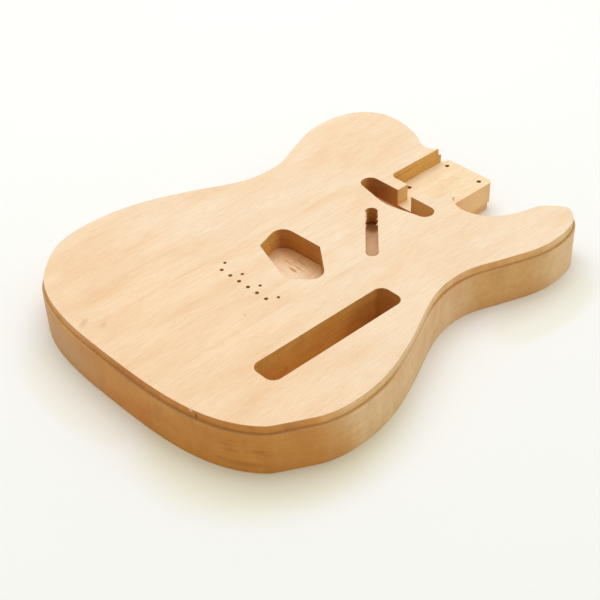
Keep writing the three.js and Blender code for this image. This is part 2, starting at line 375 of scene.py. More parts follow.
@dataclass
class BodyOutline:
    """The outline of the sides, seen from above."""

    length: float = 406.4
    width: float = 323.8
    heel_setback: float = 2.3
    heel_corner_radius: float = 4.7
    heel_treble_y: float = -27.65
    heel_bass_y: float = 26.55
    steps_per_curve: int = 24
    treble_side: tuple[OutlinePoint, ...] = (
        OutlinePoint(0.0, 0.08, -90, 0.107, 0.175),
        OutlinePoint(0.0773, -0.4152, -47, 0.114, 0.0065),
        OutlinePoint(0.0935, -0.431, -29, 0.0065, 0.02),
        OutlinePoint(0.1628, -0.4785, -27, 0.028, 0.024),
        OutlinePoint(0.25, -0.5, 0, 0.037, 0.07),
        OutlinePoint(0.431, -0.4442, 23, 0.069, 0.074),
        OutlinePoint(0.628, -0.355, 0, 0.072, 0.053),
        OutlinePoint(0.747, -0.394, -19, 0.047, 0.042),
        OutlinePoint(0.867, -0.43, 0, 0.052, 0.094),
        OutlinePoint(0.983, -0.3605, 68, 0.0155, 0.0115),
        OutlinePoint(0.933, -0.287, 165, 0.024, 0.049),
        OutlinePoint(0.823, -0.162, 91, 0.068, 0.018),
    )
    bass_side: tuple[OutlinePoint, ...] = (
        OutlinePoint(0.956, 0.117, 90, 0.013, 0.021),
        OutlinePoint(0.98, 0.184, 67, 0.033, 0.029),
        OutlinePoint(1.0, 0.301, 90, 0.04, 0.067),
        OutlinePoint(0.87, 0.435, 180, 0.074, 0.055),
        OutlinePoint(0.746, 0.396, 202, 0.05, 0.051),
        OutlinePoint(0.627, 0.353, 180, 0.059, 0.066),
        OutlinePoint(0.47, 0.4225, 155, 0.065, 0.073),
        OutlinePoint(0.241, 0.5, 180, 0.095, 0.088),
        OutlinePoint(0.062, 0.397, 228, 0.078, 0.071),
    )
    heel_start_share: float = 0.869
    heel_start_reach_share: float = 0.019
    heel_far_reach_share: float = 0.006
    straight_handle_share: float = 0.3

    @property
    def heel_end_x(self) -> float:
        """The place of the heel's end along the length, in millimetres."""
        return self.length / 2 - self.heel_setback

    @property
    def heel_start_x(self) -> float:
        """The place where the heel's straight treble side starts, in millimetres."""
        return (self.heel_start_share - 0.5) * self.length

    def knots(self) -> list[tuple[Vector, ...]]:
        """Works out the knots of the closed curve.

        Returns:
            For each knot its place, the handle before it and the handle after it, in metres.
        """

        def knot(point: OutlinePoint) -> tuple[Vector, Vector, Vector]:
            """Turns an outline point to a knot.

            Args:
                point: The outline point.

            Returns:
                The place and the handles before and after it, in millimetres.
            """
            angle = math.radians(point.heading)
            ahead = Vector((math.cos(angle), math.sin(angle), 0)) * self.length
            place = Vector(((point.along - 0.5) * self.length, point.across * self.width, 0))
            return place, place - ahead * point.before, place + ahead * point.after

        radius = self.heel_corner_radius
        inner_x = self.heel_end_x - radius
        start = Vector((self.heel_start_x, self.heel_treble_y, 0))
        low_side = Vector((inner_x, self.heel_treble_y, 0))
        low_end = Vector((self.heel_end_x, self.heel_treble_y + radius, 0))
        high_end = Vector((self.heel_end_x, self.heel_bass_y - radius, 0))
        high_side = Vector((inner_x, self.heel_bass_y, 0))
        near = self.straight_handle_share
        far = 1 - near
        ahead = Vector((radius * ROUND_HANDLE_SHARE, 0, 0))
        across = Vector((0, radius * ROUND_HANDLE_SHARE, 0))
        start_reach = Vector((self.heel_start_reach_share * self.length, 0, 0))
        far_reach = Vector((self.heel_far_reach_share * self.length, 0, 0))
        heel = [
            (start, start - start_reach, start.lerp(low_side, near)),
            (low_side, start.lerp(low_side, far), low_side + ahead),
            (low_end, low_end - across, low_end.lerp(high_end, near)),
            (high_end, low_end.lerp(high_end, far), high_end + across),
            (high_side, high_side + ahead, high_side - far_reach),
        ]
        ring = [knot(point) for point in self.treble_side] + heel + [knot(point) for point in self.bass_side]
        return [tuple(part * MM for part in parts) for parts in ring]

    def draw(self, name: str) -> bpy.types.Object:
        """Draws the outline as one flat face on the floor.

        Args:
            name: The name of the face's object.

        Returns:
            The object.
        """
        deselect_all()
        bpy.ops.curve.primitive_bezier_circle_add(radius=self.width / 2 * MM)
        curve = bpy.context.object
        curve.name = name
        curve.data.dimensions = "3D"
        curve.data.resolution_u = self.steps_per_curve
        points = curve.data.splines[0].bezier_points
        knots = self.knots()
        points.add(len(knots) - len(points))
        for point, (place, before, after) in zip(points, knots):
            point.handle_left_type = "FREE"
            point.handle_right_type = "FREE"
            point.co = place
            point.handle_left = before
            point.handle_right = after
        bpy.ops.object.convert(target="MESH")
        face = bpy.context.object
        with editing(face, "EDGE", "SELECT"):
            bpy.ops.mesh.edge_face_add()
        return face


@dataclass
class NeckJoint:
    """The neck pocket, its screw holes, the truss rod notch and the step under the heel."""

    length: float = 75.6
    width: float = 55.9
    depth: float = 15.9
    corner_radius: float = 6.0
    notch_width: float = 15.9
    notch_offset: float = -1.1
    notch_length: float = 12.4
    screw_from_wall: float = 15.6
    screw_lengthwise: float = 50.8
    screw_crosswise: float = 38.1
    screw_diameter: float = 4.3
    step_width: float = 1.6
    step_height: float = 7.9

    def pocket(self, router: Router) -> bpy.types.Object:
        """Makes the block that the pocket takes out.

        Args:
            router: The machine that cuts it.

        Returns:
            The block.
        """
        far_x = router.wall_x + self.length + router.overrun
        places = rectangle(router.wall_x, far_x, -self.width / 2, self.width / 2)
        block = router.block("neck_pocket_cut", places, self.depth)
        for place in (places[0], places[3]):
            round_corner(block, place, self.corner_radius)
        return block

    def notch(self, router: Router) -> bpy.types.Object:
        """Makes the block of the truss rod notch, between the pocket and the pickup cavity.

        Args:
            router: The machine that cuts it.

        Returns:
            The block.
        """
        low = self.notch_offset - self.notch_width / 2
        high = self.notch_offset + self.notch_width / 2
        start_x = router.wall_x - self.notch_length - router.overrun
        places = rectangle(start_x, router.wall_x + router.overrun, low, high)
        return router.block("truss_rod_notch_cut", places, self.depth)

    def screw_cores(self, router: Router) -> list[bpy.types.Object]:
        """Makes the cores of the four neck screw holes.

        Args:
            router: The machine that cuts them.

        Returns:
            The cores.
        """
        first = router.wall_x + self.screw_from_wall
        half = self.screw_crosswise / 2
        places = [(x, y) for x in (first, first + self.screw_lengthwise) for y in (-half, half)]
        return router.through("neck_screw_cut", places, self.screw_diameter)

    def heel_step(self, outline: BodyOutline, overrun: float) -> bpy.types.Object:
        """Makes the strip that the step under the heel takes out.

        Args:
            outline: The outline that the step runs along.
            overrun: How far the strip runs past open faces in millimetres.

        Returns:
            The strip.
        """
        kept = outline.draw("heel_kept")
        with editing(kept, "FACE", "SELECT"):
            bpy.ops.mesh.inset(thickness=self.step_width * MM, use_even_offset=True)
            bpy.ops.mesh.select_all(action="INVERT")
            bpy.ops.mesh.delete(type="FACE")
            bpy.ops.mesh.select_all(action="SELECT")
            bpy.ops.transform.translate(value=(0, 0, -2 * overrun * MM))
            extrude_up((self.step_height + 3 * overrun) * MM)
            face_out()
        left = outline.heel_start_x
        right = outline.heel_end_x + overrun
        places = rectangle(left, right, outline.heel_treble_y - overrun, self.width / 2)
        strip = prism("heel_step_cut", places, -overrun, self.step_height)
        subtract(strip, kept)
        return strip


@dataclass
class PickupCavities:
    """The two pickup cavities and the slanted wiring slot between them.

    Every corner of the bridge cavity has its place along and across in shares of the cavity's
    width and half length, and its radius in millimetres.
    """

    neck_setback: float = 12.4
    neck_length: float = 81.6
    neck_end_width: float = 17.1
    neck_bulge: float = 6.05
    neck_bend_length: float = 22.0
    neck_depth: float = 19.05
    bridge_from_strings: float = 28.0
    bridge_width: float = 50.0
    bridge_length: float = 82.0
    bridge_depth: float = 19.05
    bridge_corners: tuple[tuple[float, float, float], ...] = (
        (0.324, 0.741, 3.0),
        (0.0, -0.45, 12.0),
        (0.44, -1.05, 12.0),
        (1.0, -0.156, 1.5),
        (0.966, 1.0, 11.2),
    )
    slot_from_strings: float = 123.8
    slot_from_centre_line: float = 21.3
    slot_length: float = 71.1
    slot_width: float = 10.6
    slot_angle: float = 45.0
    slot_depth: float = 16.5

    def neck_cavity(self, router: Router) -> bpy.types.Object:
        """Makes the block of the neck pickup cavity: round ends, and a bent wall towards the bridge.

        Args:
            router: The machine that cuts it.

        Returns:
            The block.
        """
        radius = self.neck_end_width / 2
        end_y = self.neck_length / 2 - radius
        right = router.wall_x - self.neck_setback
        middle = right - radius
        left = right - self.neck_end_width
        bend = self.neck_bend_length / 2
        slope = self.neck_bulge / (end_y - bend / 2)
        places = half_turn(middle, end_y, radius, 0.0)
        for step in range(HALF_TURN_STEPS + 1):
            y = bend - 2 * bend * step / HALF_TURN_STEPS
            bow = slope * (end_y - (bend + y * y / bend) / 2)
            places.append((left - bow, y))
        places += half_turn(middle, -end_y, radius, math.pi)
        return router.block("neck_cavity_cut", places, self.neck_depth)

    def bridge_cavity(self, router: Router) -> bpy.types.Object:
        """Makes the five-cornered block of the bridge pickup cavity.

        Args:
            router: The machine that cuts it.

        Returns:
            The block.
        """
        start = router.strings_x + self.bridge_from_strings
        places = [
            (start + along * self.bridge_width, across * self.bridge_length / 2)
            for along, across, _ in self.bridge_corners
        ]
        block = router.block("bridge_cavity_cut", places, self.bridge_depth)
        corners = [Vector(place) for place in places]
        for i, (_, _, radius) in enumerate(self.bridge_corners):
            before = corners[i - 1] - corners[i]
            after = corners[(i + 1) % len(corners)] - corners[i]
            round_corner(block, places[i], radius / math.tan(before.angle(after) / 2))
        return block

    def slot_middle(self, router: Router) -> tuple[float, float]:
        """Gives the place of the wiring slot's middle in millimetres."""
        return router.strings_x + self.slot_from_strings, -self.slot_from_centre_line

    def slot(self, router: Router) -> bpy.types.Object:
        """Makes the block of the wiring slot, a straight run of a round cutter.

        Args:
            router: The machine that cuts it.

        Returns:
            The block.
        """
        radius = self.slot_width / 2
        flat = self.slot_length / 2 - radius
        straight = half_turn(flat, 0.0, radius, -math.pi / 2) + half_turn(-flat, 0.0, radius, math.pi / 2)
        turn = math.radians(self.slot_angle)
        middle_x, middle_y = self.slot_middle(router)
        places = []
        for x, y in straight:
            turned_x = x * math.cos(turn) - y * math.sin(turn)
            turned_y = x * math.sin(turn) + y * math.cos(turn)
            places.append((middle_x + turned_x, middle_y + turned_y))
        return router.block("wiring_slot_cut", places, self.slot_depth)


@dataclass
class ControlCavity:
    """The long cavity for the controls."""

    from_butt: float = 68.2
    length: float = 138.6
    width: float = 25.9
    from_centre_line: float = 92.0
    corner_radius: float = 8.2
    depth: float = 38.1

    def block(self, router: Router) -> bpy.types.Object:
        """Makes the block that the cavity takes out.

        Args:
            router: The machine that cuts it.

        Returns:
            The block.
        """
        start = router.butt_x + self.from_butt
        low = -self.from_centre_line - self.width / 2
        high = -self.from_centre_line + self.width / 2
        places = rectangle(start, start + self.length, low, high)
        block = router.block("control_cavity_cut", places, self.depth)
        for place in places:
            round_corner(block, place, self.corner_radius)
        return block


@dataclass
class BridgeHoles:
    """The string holes with their ferrule seats, and the pilot holes of the bridge screws."""

    string_count: int = 6
    string_spacing: float = 10.8
    string_diameter: float = 3.5
    ferrule_diameter: float = 8.0
    ferrule_depth: float = 11.0
    screw_count: int = 4
    screw_spacing: float = 21.66
    screw_setback: float = 8.1
    screw_diameter: float = 2.9
    screw_depth: float = 19.0

    @staticmethod
    def row(x: float, count: int, spacing: float) -> Places:
        """Gives the places of a row of holes about the centre line."""
        return [(x, (i - (count - 1) / 2) * spacing) for i in range(count)]

    def string_cores(self, router: Router) -> list[bpy.types.Object]:
        """Makes the cores of the string holes."""
        places = self.row(router.strings_x, self.string_count, self.string_spacing)
        return router.through("string_hole_cut", places, self.string_diameter)

    def ferrule_cores(self, router: Router) -> list[bpy.types.Object]:
        """Makes the cores of the ferrule seats in the back."""
        places = self.row(router.strings_x, self.string_count, self.string_spacing)
        return drill("ferrule_seat_cut", places, self.ferrule_diameter, -router.overrun, self.ferrule_depth)

    def screw_cores(self, router: Router) -> list[bpy.types.Object]:
        """Makes the cores of the bridge screws' pilot holes.

        Args:
            router: The machine that cuts them.

        Returns:
            The cores.
        """
        places = self.row(router.strings_x + self.screw_setback, self.screw_count, self.screw_spacing)
        bottom = router.top - self.screw_depth
        return drill("bridge_screw_cut", places, self.screw_diameter, bottom, router.top + router.overrun)


@dataclass(frozen=True)
class TornRun:
    """A stretch of the wiring slot's rim where fibres stand up.

    Attributes:
        side: 1 for the rim on the bass side, whose slivers point to the neck, and -1 for the other,
            whose slivers point to the butt.
        start_share: Where it starts, up the slot from its middle, as a share of the slot's length.
        end_share: Where it ends.
        count: How many slivers stand along it.
    """

    side: int
    start_share: float
    end_share: float
    count: int


@dataclass
class TornFibres:
    """Slivers of wood that a dull cutter left standing along the rims of the wiring slot.

    Fibres run along the body, so the slivers do too.

    Attributes:
        runs: The stretches of rim that have them.
        length: Shortest and longest sliver.
        width: Narrowest and widest sliver.
        thickness_share: Thickness of a sliver as a share of its width.
        lift: How far a sliver may tilt, in degrees.
        swing: How far a sliver may turn to a side, in degrees.
        sink: How deep under the top face they stand.
        seed: Starts the draws.
    """

    runs: tuple[TornRun, ...] = (
        TornRun(1, 0.42, 0.1, 26),
        TornRun(1, 0.1, -0.4, 3),
        TornRun(-1, 0.42, 0.1, 9),
        TornRun(-1, 0.1, -0.4, 2),
    )
    length: tuple[float, float] = (0.9, 1.9)
    width: tuple[float, float] = (0.6, 1.3)
    thickness_share: float = 0.6
    lift: float = 6.0
    swing: float = 25.0
    sink: float = 0.6
    seed: int = 7

    def sliver(self, place: Vector, points: int, chance: random.Random) -> bpy.types.Object:
        """Makes one sliver, a flat four-sided splinter that narrows to its tip.

        Args:
            place: The place on the rim in millimetres.
            points: Whether it points to the neck (1) or to the butt (-1).
            chance: The seeded source of its size and turn.

        Returns:
            The sliver.
        """
        length = chance.uniform(*self.length)
        width = chance.uniform(*self.width)
        deselect_all()
        bpy.ops.mesh.primitive_cone_add(
            vertices=4,
            radius1=width / 2 * MM,
            depth=2 * length * MM,
            rotation=(0, math.radians(90 * points), 0),
        )
        sliver = settle(bpy.context.object)
        with editing(sliver, "VERT", "SELECT"):
            bpy.ops.transform.resize(value=(1, 1, self.thickness_share))
            tilt = math.radians(chance.uniform(-self.lift, self.lift))
            swing = math.radians(chance.uniform(-self.swing, self.swing))
            bpy.ops.transform.rotate(value=tilt, orient_axis="Y", center_override=(0, 0, 0))
            bpy.ops.transform.rotate(value=swing, orient_axis="Z", center_override=(0, 0, 0))
            overhang = Vector((points * length / 2, 0, 0))
            bpy.ops.transform.translate(value=tuple((place + overhang) * MM))
        return sliver

    def build(self, cavities: PickupCavities, router: Router, wood: bpy.types.Material) -> bpy.types.Object:
        """Makes all slivers as one object.

        Args:
            cavities: The cavities that the wiring slot belongs to.
            router: The machine that cut it.
            wood: The material of the slivers.

        Returns:
            The slivers.
        """
        chance = random.Random(self.seed)
        turn = math.radians(cavities.slot_angle)
        up_slot = Vector((math.cos(turn), math.sin(turn), 0)) * cavities.slot_length
        left = Vector((-math.sin(turn), math.cos(turn), 0)) * cavities.slot_width / 2
        middle = Vector((*cavities.slot_middle(router), router.top - self.sink))
        slivers = []
        for run in self.runs:
            start = middle + up_slot * run.start_share + left * run.side
            end = middle + up_slot * run.end_share + left * run.side
            for _ in range(run.count):
                slivers.append(self.sliver(start.lerp(end, chance.random()), run.side, chance))
        fringe = join(slivers, "torn_fibres")
        fringe.data.materials.append(wood)
        return fringe


@dataclass
class Slab:
    """The glued-up blank with all its cuts, before it is parted into its boards."""

    thickness: float = 44.45
    ledge_width: float = 2.2
    ledge_height: float = 7.6
    cove_radius: float = 1.3
    lip_radius: float = 0.45
    edge_radius: float = 0.3
    rim_radius: float = 0.25
    rim_angle: float = 60.0
    pocket_from_strings: float = 197.4
    overrun: float = 5.0
    outline: BodyOutline = field(default_factory=BodyOutline)
    neck: NeckJoint = field(default_factory=NeckJoint)
    pickups: PickupCavities = field(default_factory=PickupCavities)
    controls: ControlCavity = field(default_factory=ControlCavity)
    holes: BridgeHoles = field(default_factory=BridgeHoles)
    fibres: TornFibres = field(default_factory=TornFibres)

    @property
    def top(self) -> float:
        """The height of the top face in metres."""
        return self.thickness * MM

    @property
    def ledge(self) -> float:
        """The height of the ledge's floor in metres."""
        return (self.thickness - self.ledge_height) * MM

    def blank(self) -> bpy.types.Object:
        """Extrudes the outline and steps its top edge for the binding.

        Returns:
            The uncut blank.
        """
        blank = self.outline.draw("slab")
        with editing(blank, "FACE", "SELECT"):
            extrude_up(self.ledge)
            bpy.ops.mesh.inset(thickness=self.ledge_width * MM, use_even_offset=True)
            extrude_up(self.top - self.ledge)
            face_out()
        self.soften(blank, self.ledge, self.cove_radius, inner=True)
        self.soften(blank, self.ledge, self.edge_radius, inner=False)
        self.soften(blank, self.top, self.lip_radius)
        self.soften(blank, 0.0, self.edge_radius)
        return blank

    @staticmethod
    def soften(blank: bpy.types.Object, height: float, radius: float, inner: bool | None = None) -> None:
        """Rounds a rim of the blank.

        Args:
            blank: The blank.
            height: The height of the rim in metres.
            radius: The radius in millimetres.
            inner: Whether it is the inside corner of the ledge, its outside corner, or neither.
        """

        def on_rim(edge: bmesh.types.BMEdge) -> bool:
            """Says whether an edge lies along the rim.

            Args:
                edge: The edge.

            Returns:
                True on the rim.
            """
            if not at_height(edge, height):
                return False
            upright = [face for face in edge.link_faces if abs(face.normal.z) < UPRIGHT_RISE]
            if len(upright) != 1:
                return False
            above = upright[0].calc_center_median().z > height
            return inner is None or above == inner

        bevel_edges(blank, on_rim, radius, RIM_STEPS)

    def mark_ledge(self, slab: bpy.types.Object) -> None:
        """Gives the ledge's edge, floor, cove and wall their own material slot.

        Args:
            slab: The slab.
        """
        low = self.ledge - self.edge_radius * MM
        high = self.top - self.lip_radius * MM
        with editing(slab, "FACE"):
            for face in bmesh.from_edit_mesh(slab.data).faces:
                face.material_index = 1 if low < face.calc_center_median().z < high else 0
            bmesh.update_edit_mesh(slab.data)

    @staticmethod
    def cut(slab: bpy.types.Object, cutters: list[bpy.types.Object], mark: bpy.types.Material) -> None:
        """Cuts a set of blocks that don't meet each other out of the slab.

        Args:
            slab: The slab.
            cutters: The blocks.
            mark: The stand-in material that marks the cut faces.
        """
        cutter = join(cutters, "cutters")
        cutter.data.materials.clear()
        cutter.data.materials.append(mark)
        subtract(slab, cutter, "TRANSFER")

    def break_rims(self, slab: bpy.types.Object) -> None:
        """Takes the sharpness off the rims of the cuts in the top face.

        Args:
            slab: The slab.
        """

        def is_rim(edge: bmesh.types.BMEdge) -> bool:
            """Says whether an edge lies between the top face and a cut's wall.

            Args:
                edge: The edge.

            Returns:
                True on a cut's rim.
            """
            if not at_height(edge, self.top) or len(edge.link_faces) != 2:
                return False
            return edge.calc_face_angle(0) > math.radians(self.rim_angle)

        bevel_edges(slab, is_rim, self.rim_radius, 1)

    def shape(self, marks: Marks) -> bpy.types.Object:
        """Makes the slab with all its cuts.

        Args:
            marks: A stand-in material for each kind of face, replaced on each board.

        Returns:
            The slab.
        """
        wall_x = self.outline.heel_end_x - self.neck.length
        router = Router(
            butt_x=-self.outline.length / 2,
            wall_x=wall_x,
            strings_x=wall_x - self.pocket_from_strings,
            top=self.thickness,
            overrun=self.overrun,
        )
        slab = self.blank()
        slab.data.materials.append(marks[Cut.SANDED])
        slab.data.materials.append(marks[Cut.LEDGE])
        self.mark_ledge(slab)
        self.cut(slab, [self.neck.heel_step(self.outline, self.overrun)], marks[Cut.SANDED])
        first_round = [
            self.neck.pocket(router),
            self.pickups.neck_cavity(router),
            self.pickups.bridge_cavity(router),
            self.pickups.slot(router),
            self.controls.block(router),
            *self.holes.string_cores(router),
            *self.holes.screw_cores(router),
        ]
        self.cut(slab, first_round, marks[Cut.ROUTED])
        second_round = [
            self.neck.notch(router),
            *self.neck.screw_cores(router),
            *self.holes.ferrule_cores(router),
        ]
        self.cut(slab, second_round, marks[Cut.ROUTED])
        self.break_rims(slab)
        return join([slab, self.fibres.build(self.pickups, router, marks[Cut.SANDED])], "slab")


# Finishes


class Node(Enum):
    """The shader nodes in use: type, the output that is read, and settings."""

    PLACE = ("TexCoord", "Object")
    AXES = ("SeparateXYZ", "Z")
    SHIFT = ("Mapping", 0)
    FIT = ("Mapping", 0, {"vector_type": "TEXTURE"})
    ADD_PLACE = ("VectorMath", 0, {"operation": "ADD"})
    TAKE_PLACE = ("VectorMath", 0, {"operation": "SUBTRACT"})
    SCALE_AND_ADD_PLACE = ("VectorMath", 0, {"operation": "MULTIPLY_ADD"})
    NOISE = ("TexNoise", "Fac")
    BALL = ("TexGradient", "Fac", {"gradient_type": "SPHERICAL"})
    RINGS = ("TexWave", "Fac", {"wave_type": "RINGS", "rings_direction": "X", "wave_profile": "SAW"})
    ARCS = ("TexWave", "Fac", {"wave_type": "RINGS", "rings_direction": "Z", "wave_profile": "SIN"})
    RANGE = ("MapRange", 0)
    SLOPE = ("MapRange", 0, {"interpolation_type": "SMOOTHSTEP"})
    SUM = ("Math", 0, {"operation": "ADD", "use_clamp": True})
    REST = ("Math", 0, {"operation": "SUBTRACT", "use_clamp": True})
    PRODUCT = ("Math", 0, {"operation": "MULTIPLY", "use_clamp": True})
    SCALE_AND_ADD = ("Math", 0, {"operation": "MULTIPLY_ADD", "use_clamp": True})
    AMOUNT = ("Math", 0, {"operation": "ABSOLUTE", "use_clamp": True})
    LARGEST = ("Math", 0, {"operation": "MAXIMUM", "use_clamp": True})
    COVER = ("Mix", 2, {"data_type": "RGBA", "blend_type": "MIX"})
    STAIN = ("Mix", 2, {"data_type": "RGBA", "blend_type": "MULTIPLY"})
    BUMP = ("Bump", 0)

    def __init__(self, type_name: str, output: int | str, settings: dict[str, Any] | None = None) -> None:
        """Keeps what makes the node.

        Args:
            type_name: The node's type, without what all shader nodes start with.
            output: The output that is read, by name or number.
            settings: The node's settings, if it needs any.
        """
        self.type_name = f"ShaderNode{type_name}"
        self.output = output
        self.settings = settings or {}


def linear(colour: str) -> tuple[float, float, float, float]:
    """Turns an sRGB hex colour to linear light.

    Args:
        colour: The colour as RRGGBB.

    Returns:
        Red, green and blue in linear light, and an alpha of 1.
    """
    channels = [int(colour[i : i + 2], 16) / 255 for i in (0, 2, 4)]
    light = [c / 12.92 if c <= 0.04045 else ((c + 0.055) / 1.055) ** 2.4 for c in channels]
    return light[0], light[1], light[2], 1.0


@dataclass(frozen=True)
class Spot:
    """A soft spot, an ellipsoid that fades out from its middle.

    Attributes:
        place: Its middle in millimetres.
        size: Its half axes along, across and up, in millimetres.
        strength: Its value in the middle.
        fade: Share of the half axes over which it fades out.
        turn: How far it is turned about the upright axis, in degrees.
    """

    place: tuple[float, float, float]
    size: tuple[float, float, float]
    strength: float = 1.0
    fade: float = 0.6
    turn: float = 0.0


@dataclass(frozen=True)
class MarkOrPaintedLight(Spot):
    """A small mark in the wood; some are spots of painted light and painted shade.

    Attributes:
        colour: What the wood is dyed towards there.
        cover: Whether the mark covers the wood, and doesn't just darken it.
    """

    colour: str = "FFFFFF"
    cover: bool = False


@dataclass(frozen=True)
class Pattern:
    """A noise whose grains have a real size.

    Attributes:
        grain: Size of a grain along, across and up, in millimetres.
        shift: Multiplies the board's seed, so that no two patterns match.
        low: Noise value that gives 0.
        high: Noise value that gives the full strength.
        strength: The largest value.
        detail: How many finer layers the noise has.
    """

    grain: tuple[float, float, float]
    shift: float
    low: float
    high: float
    strength: float = 1.0
    detail: float = 2.0


class Shading:
    """The node tree of one material."""

    def __init__(self, name: str) -> None:
        """Starts a material that has its surface shader and object coordinates.

        Args:
            name: The material's name.
        """
        self.material = bpy.data.materials.new(name)
        self.material.use_nodes = True
        self.tree = self.material.node_tree
        self.surface = self.tree.nodes["Principled BSDF"]
        self.at = self.add(Node.PLACE)

    def feed(self, node: bpy.types.Node, **inputs: Any) -> None:
        """Sets or links the inputs of a node.

        Args:
            node: The node.
            inputs: Values or output sockets, by name with _ for a space, or by number as in_0.
        """
        for name, value in inputs.items():
            key = int(name[3:]) if name.startswith("in_") else name.replace("_", " ")
            if isinstance(value, bpy.types.NodeSocket):
                self.tree.links.new(value, node.inputs[key])
            else:
                node.inputs[key].default_value = value

    def add(self, kind: Node, **inputs: Any) -> bpy.types.NodeSocket:
        """Adds a node with its settings, values and links.

        Args:
            kind: The kind of node.
            inputs: Values or output sockets for its inputs.

        Returns:
            The output that is read from it.
        """
        node = self.tree.nodes.new(kind.type_name)
        for name, value in kind.settings.items():
            setattr(node, name, value)
        self.feed(node, **inputs)
        return node.outputs[kind.output]

    def chain(self, kind: Node, *parts: bpy.types.NodeSocket | float) -> bpy.types.NodeSocket:
        """Joins values one after another with nodes of any one kind."""
        return reduce(lambda one, other: self.add(kind, in_0=one, in_1=other), parts)

    def spot(self, spot: Spot) -> bpy.types.NodeSocket:
        """Adds a soft spot.

        Args:
            spot: The spot.

        Returns:
            The spot's values.
        """
        fitted = self.add(
            Node.FIT,
            Vector=self.at,
            Location=metres(spot.place),
            Rotation=(0.0, 0.0, math.radians(spot.turn)),
            Scale=metres(spot.size),
        )
        ball = self.add(Node.BALL, Vector=fitted)
        return self.add(Node.SLOPE, Value=ball, From_Min=0.0, From_Max=spot.fade, To_Max=spot.strength)


class WoodShading(Shading):
    """The node tree of a board's finish, with what its patterns read.

    Its sockets are the height over the back, how far a face looks to the neck, how level a face is
    and how upright it is.
    """

    def __init__(self, name: str, seed: float) -> None:
        """Starts a material for wood.

        Args:
            name: The material's name.
            seed: Shifts the patterns so that no two boards match.
        """
        super().__init__(name)
        self.seed = seed
        self.height = self.add(Node.AXES, Vector=self.at)
        facing_up = self.add(Node.AXES, Vector=self.at.node.outputs["Normal"])
        self.facing_neck = facing_up.node.outputs["X"]
        steepness = self.add(Node.AMOUNT, in_0=facing_up)
        self.level = self.add(Node.SLOPE, Value=steepness, From_Min=0.3, From_Max=0.75)
        self.upright = self.add(Node.REST, in_0=1.0, in_1=self.level)

    def noise(self, pattern: Pattern, strength: float = 1.0) -> bpy.types.NodeSocket:
        """Adds a noise.

        Args:
            pattern: Its grain and range.
            strength: Multiplies its values.

        Returns:
            Its values.
        """
        shift = self.seed * pattern.shift
        sized = self.add(
            Node.SHIFT,
            Vector=self.at,
            Location=(shift, shift * 2.3, shift * 3.1),
            Scale=tuple(1 / length for length in metres(pattern.grain)),
        )
        texture = self.add(Node.NOISE, Vector=sized, Scale=1.0, Detail=pattern.detail, Roughness=0.55)
        return self.add(
            Node.RANGE,
            Value=texture,
            From_Min=pattern.low,
            From_Max=pattern.high,
            To_Max=pattern.strength * strength,
        )


@dataclass(frozen=True)
class Plank:
    """The wood that one board was sawn from.

    Attributes:
        pith: Where the tree's middle lay across the body and up, in millimetres.
        seed: Shifts the pattern so that no two boards match.
        tint: What its sanded sides are dyed towards.
    """

    pith: tuple[float, float]
    seed: float
    tint: str = "FFFFFF"


